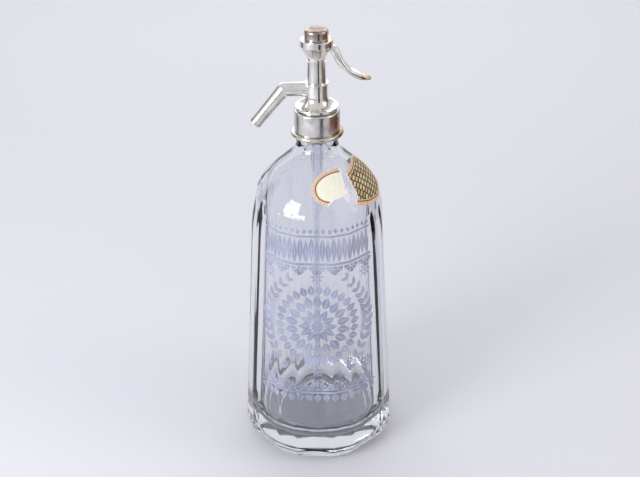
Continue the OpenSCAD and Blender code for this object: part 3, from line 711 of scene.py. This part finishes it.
def makeLabel(name, v):
    # rings shrink from the outline to the centre: p = centre + share (edge - centre)
    rng = np.random.default_rng(v["seed"])
    outline = np.array(v["outline"], float)
    tornFrom = v["torn"]
    corners = [(*p, paper["cornerRound"]) if 0 < i < tornFrom else tuple(p)
               for i, p in enumerate(outline[:tornFrom + 1].tolist())]
    printed = densePath(roundedPath(corners, 5), paper["edgeStep"])
    torn = densePath(np.vstack([outline[tornFrom:], outline[:1]]), paper["edgeStep"])
    walk = rng.normal(0, 1, (len(torn), 2))
    walk = (walk + np.roll(walk, 1, 0) + np.roll(walk, -1, 0)) / 3 * paper["tearNoise"]
    walk[0] = walk[-1] = 0
    tornLine = torn + walk
    edge = np.vstack([printed[:-1], tornLine[:-1]])
    share = np.concatenate([[1.0, 0.985, 0.965], np.linspace(0.945, 0.04, 34)])
    centre = np.array(v["centre"], float)
    flat = centre + share[:, None, None] * (edge - centre)
    points2 = flat.reshape(-1, 2)
    fromPrint = distanceToLine(points2, printed)
    fromTear = distanceToLine(points2, tornLine)
    curl = paper["curl"] * np.clip(1 - fromTear / paper["curlReach"], 0, 1) ** 2
    top = ontoGlass(points2[:, 0], points2[:, 1], v["turn"], v["z"], v["tilt"],
                    paper["glue"] + paper["thick"] + curl * 0.6)
    under = ontoGlass(points2[:, 0], points2[:, 1], v["turn"], v["z"], v["tilt"],
                      paper["glue"] + curl * 0.5)
    rows, columns = flat.shape[:2]
    sheet = np.concatenate([top.reshape(rows, columns, 3)[::-1], under.reshape(rows, columns, 3)])
    piece = closedTube(name, sheet, True, True, sharp=60)
    # the material reads the flat place and both distances, in millimetres
    values = dict(place=np.column_stack([points2, np.zeros(len(points2))]), rim=fromPrint, tear=fromTear)
    for key, data in values.items():
        grid = data.reshape(rows, columns, -1)
        both = np.concatenate([grid[::-1], grid]).reshape(rows * 2 * columns, -1)
        both = np.vstack([both, both[:columns].mean(0), both[-columns:].mean(0)])
        kind = "FLOAT_VECTOR" if key == "place" else "FLOAT"
        layer = piece.data.attributes.new(key, kind, "POINT")
        layer.data.foreach_set("vector" if key == "place" else "value", both.astype(np.float32).ravel())
    return piece


def band(tree, value, start, end, soft=0.08):
    # 1 between start and end, 0 outside, with soft sides
    up = addNode(tree, "ShaderNodeMapRange", inputs={0: value, 1: start - soft, 2: start + soft}).outputs[0]
    down = addNode(tree, "ShaderNodeMapRange", inputs={0: value, 1: end - soft, 2: end + soft,
                   3: 1.0, 4: 0.0}).outputs[0]
    return addNode(tree, "ShaderNodeMath", {"operation": "MULTIPLY"}, {0: up, 1: down}).outputs[0]


def over(tree, factor, under, top):
    # the colour top laid over the colour under
    top = linearColor(top) if isinstance(top, str) else top
    return addNode(tree, "ShaderNodeMix", {"data_type": "RGBA"},
                   {"Factor": factor, 6: under, 7: top}).outputs[2]


# distances from the printed edge, in millimetres, where each band of the border starts and ends
borderBands = dict(edge=(-1.0, 0.3), border=(-1.0, 2.15), line=(2.15, 2.85), inner=(2.9, 3.4))


def labelPaper(name, ground, groundDark, ornament):
    # Aged gummed paper: a coloured border, a dark line, a printed or plain ground, a white torn edge
    material, tree, shader = newMaterial(name)

    def read(key, output):
        return addNode(tree, "ShaderNodeAttribute", {"attribute_name": key}).outputs[output]

    rim, tear, place = read("rim", "Fac"), read("tear", "Fac"), read("place", "Vector")
    fibre = addNode(tree, "ShaderNodeTexNoise",
                    inputs={"Vector": place, "Scale": 0.55, "Detail": 6.0}).outputs[0]
    color = rampNode(tree, fibre, [(0.35, groundDark), (0.6, ground)])
    if ornament:
        # slanting rows of uneven tiles with dark joints, as a generic print
        shift = addNode(tree, "ShaderNodeTexNoise",
                        inputs={"Vector": place, "Scale": 0.35}).outputs["Color"]
        bent = addNode(tree, "ShaderNodeVectorMath", {"operation": "MULTIPLY_ADD"},
                       {0: shift, 1: (0.9, 0.9, 0), 2: place}).outputs[0]
        slant = addNode(tree, "ShaderNodeMapping", inputs={"Vector": bent, "Location": (0.3, 1.4, 0),
                        "Rotation": (0, 0, 0.9)}).outputs[0]
        tiles = addNode(tree, "ShaderNodeTexBrick", {"offset": 0.5}, {"Vector": slant, "Scale": 1.0,
                        "Color1": linearColor("#efe2b8"), "Color2": linearColor("#c09c60"),
                        "Mortar": linearColor("#2b221a"), "Mortar Size": 0.62, "Mortar Smooth": 0.25,
                        "Brick Width": 2.5, "Row Height": 4.6}).outputs["Color"]
        color = over(tree, 0.9, color, tiles)
    color = over(tree, band(tree, rim, *borderBands["inner"]), color, "#ecdcb4")
    color = over(tree, band(tree, rim, *borderBands["line"]), color, "#33251b")
    border = rampNode(tree, fibre, [(0.3, "#d9a27e"), (0.65, "#efcaa8")])
    color = over(tree, band(tree, rim, *borderBands["border"]), color, border)
    color = over(tree, band(tree, rim, *borderBands["edge"]), color, "#f0dccb")
    wander = addNode(tree, "ShaderNodeMath", {"operation": "MULTIPLY_ADD"},
                     {0: fibre, 1: 1.4, 2: tear}).outputs[0]
    color = over(tree, band(tree, wander, -2.0, 1.75, 0.15), color, "#f4f1ea")
    tree.links.new(color, shader.inputs["Base Color"])
    bump = addNode(tree, "ShaderNodeBump", inputs={"Height": fibre, "Distance": 0.00004})
    tree.links.new(bump.outputs[0], shader.inputs["Normal"])
    shader.inputs["Roughness"].default_value = 0.62
    return material


labelLeft = makeLabel("labelLeft", paper["left"])
finishPiece(labelLeft, "siphon", labelPaper("agedCreamPaper", "#f8f6e6", "#efeacf", False),
            "cream_paper", "label_left")
labelRight = makeLabel("labelRight", paper["right"])
finishPiece(labelRight, "siphon", labelPaper("giltPrintedPaper", "#d3b777", "#a98648", True),
            "gilt_paper", "label_right")
print("labels are made")


# ---- etched ornament: leaves, fans and diamonds of thin matt skin on the glass

etch = dict(lift=0.02, thick=0.05, arcR=53.0, turn=-1.0, centreZ=121, reach=47,
            dotZ=193.6, upperTop=190.2, upperLow=169.6, lowerLine=65.0,
            dotStep=5.0, leafStep=8.6, hangStep=13.6, standStep=18.4, dropStep=6.3,
            # each round of petals: inner and outer radius, number, fill and turn
            rounds=[(5.0, 14.4, 12, 0.96, 0.0), (15.0, 24.6, 18, 0.92, 0.5), (25.2, 33.0, 30, 0.9, 0.25)])


def leaf(x, z, length, width, angle, bend=0.0, vein=0.14):
    # two halves of a leaf: its middle line turns by bend over the length, the half width is
    # width sin(pi t^0.8) / 2, and each half runs from vein to 1 of that
    t = np.linspace(0, 1, 11)
    direction = math.radians(angle) + math.radians(bend) * t
    step = length / 10
    cx = x + np.concatenate([[0], np.cumsum(np.cos(direction[:-1]))]) * step
    cz = z + np.concatenate([[0], np.cumsum(np.sin(direction[:-1]))]) * step
    half = width / 2 * np.sin(math.pi * np.clip(t, 0.015, 0.985) ** 0.8)
    out = []
    for sign in (-1, 1):
        u = np.linspace(vein, 1, 4)[:, None] * sign
        out.append((cx - np.sin(direction) * u * half, cz + np.cos(direction) * u * half))
    return out


def sector(x, z, r0, r1, a0, a1, count=None):
    # a piece of a ring about (x, z), between two radii and two angles in degrees
    count = count or max(3, int(abs(a1 - a0) / 6) + 2)
    a = np.radians(np.linspace(a0, a1, count))
    r = np.linspace(r0, r1, max(2, int((r1 - r0) / 2.5) + 2))[:, None]
    return [(x + r * np.cos(a), z + r * np.sin(a))]


def lozenge(x, z, width, height):
    # a diamond: sums of two half diagonals
    u, v = np.meshgrid(np.linspace(-0.5, 0.5, 3), np.linspace(-0.5, 0.5, 3))
    return [(x + (u - v) * width / 2, z + (u + v) * height / 2)]


def strip(x0, x1, z, width):
    # a straight band round the bottle
    s = np.linspace(x0, x1, max(2, int((x1 - x0) / 2) + 1))
    w = np.array([[-0.5], [0.5]]) * width
    return [(s + 0 * w, z + w + 0 * s)]


def fan(x, z, radius, up, blades=5):
    # an open fan of wedge blades over a small half disc
    out = sector(x, z, 0.4, radius * 0.26, 0 if up > 0 else 180, 180 if up > 0 else 360)
    spread = 180 / blades
    for i in range(blades):
        a = i * spread + (0 if up > 0 else 180)
        out += sector(x, z, radius * 0.36, radius * (0.97 if i % 2 == 0 else 0.86), a + 3, a + spread - 3)
    return out


def flower(x, z, radius, petals):
    # a core and a round of petals
    out = sector(x, z, 0.3, radius * 0.24, 0, 360, 18)
    for k in range(petals):
        a = k * tau / petals
        out += leaf(x + radius * 0.34 * math.cos(a), z + radius * 0.34 * math.sin(a), radius * 0.66,
                    radius * 2.5 / petals, math.degrees(a), 0.0, 0.1)
    return out


def petalRound(z, r0, r1, count, fill, turn):
    # a round of petals about the middle, each as wide as fill times its share of the circle
    width = tau * (r0 + r1) / 2 / count * fill
    out = []
    for k in range(count):
        a = (k + turn) * tau / count
        out += leaf(r0 * math.cos(a), z + r0 * math.sin(a), r1 - r0, width, math.degrees(a), 0.0, 0.08)
    return out


def etchedShapes():
    e = etch
    c, reach = e["centreZ"], e["reach"]
    shapes = []
    # upper frieze: interlaced leaves between lines, small diamonds over it and fans hanging under it
    for i in range(-9, 10):
        shapes += lozenge(i * e["dotStep"], e["dotZ"], 3.2, 3.6)
    shapes += strip(-reach, reach, e["upperTop"], 1.2)
    for i in range(-5, 6):
        shapes += leaf(i * e["leafStep"], 171.2, 17.2, 4.3, 90, 0.0, 0.07)
    for i in range(-5, 5):
        shapes += leaf((i + 0.5) * e["leafStep"], 188.6, 17.2, 4.3, -90, 0.0, 0.09)
    shapes += strip(-reach, reach, e["upperLow"], 1.8)
    for i in range(-3, 4):
        shapes += fan(i * e["hangStep"], 168.0, 6.6, -1)
    # lower frieze: fans standing on a line, leaves hanging under it
    for i in range(-2, 3):
        shapes += fan(i * e["standStep"], 66.6, 8.8, 1, 7)
    for i in range(-2, 2):
        shapes += leaf((i + 0.5) * e["standStep"], 67.2, 6.2, 4.4, 90)
    shapes += strip(-reach, reach, e["lowerLine"], 1.8)
    for i in range(-7, 8):
        shapes += leaf(i * e["dropStep"], 63.4, 6.4, 5.2, -90, 0.0, 0.1)
    # the middle flower: a core and three rounds of petals
    shapes += sector(0, c, 0.6, 4.4, 0, 360, 40)
    for petals in e["rounds"]:
        shapes += petalRound(c, *petals)
    # a fern bends round the flower on each side, its leaflets in pairs on a curved stem
    for side in (-1, 1):
        t = np.linspace(0, 1, 15)
        stemX = side * (15 + 26.5 * np.sin(math.pi * t) ** 0.8)
        stemZ = c - 42 + 84 * t
        slope = np.degrees(np.arctan2(np.gradient(stemZ), np.gradient(stemX)))
        for i in range(15):
            size = 6.6 * math.sin(math.pi * (0.12 + 0.8 * t[i])) + 2.6
            for turn in (-1, 1):
                shapes += leaf(stemX[i], stemZ[i], size, size * 0.46, slope[i] - turn * 46, turn * 14, 0.1)
        shapes += flower(side * 40.5, c + 37.5, 5.4, 8)
        shapes += flower(side * 41.0, c - 38.0, 5.4, 8)
    shapes += flower(0, c + 39.0, 5.4, 8)
    shapes += flower(0, c - 38.2, 4.6, 8)
    return shapes


def skinOnGlass(x, z, lift):
    # x is an arc length at the radius arcR, so the angle is x / arcR from the middle of the front
    angle = x / etch["arcR"] + math.radians(etch["turn"] - 90)
    radius = glassRadius(angle, z) + lift
    return np.stack([radius * np.cos(angle), radius * np.sin(angle), z], -1)


def makeEtching():
    # each shape is a thin closed tile: its upper skin, then its lower one, as rings round its border
    points, faces, first = [], [], 0
    for x, z in etchedShapes():
        x, z = np.broadcast_arrays(x, z)
        rows, columns = x.shape
        area = np.sum((x[:-1, :-1] - x[1:, 1:]) * (z[:-1, 1:] - z[1:, :-1])
                      - (x[:-1, 1:] - x[1:, :-1]) * (z[:-1, :-1] - z[1:, 1:]))
        if area > 0:
            x, z = x[:, ::-1], z[:, ::-1]
        top = skinOnGlass(x, z, etch["lift"] + etch["thick"]).reshape(-1, 3)
        low = skinOnGlass(x, z, etch["lift"]).reshape(-1, 3)
        count = rows * columns
        quads = gridQuads(rows, columns, False)
        number = np.arange(count).reshape(rows, columns)
        border = np.concatenate([number[0, :-1], number[:-1, -1], number[-1, :0:-1], number[:0:-1, 0]])
        after = np.roll(border, -1)
        wall = np.stack([after, border, border + count, after + count], 1)
        faces.append(np.vstack([quads, quads[:, ::-1] + count, wall]) + first)
        points += [top, low]
        first += 2 * count
    return makeMesh("etchedOrnament", np.vstack(points), np.vstack(faces), sharp=50)


etching = makeEtching()
finishPiece(etching, "siphon", frostMaterial, "clear_glass")
print("etching:", len(etching.data.polygons), "faces")
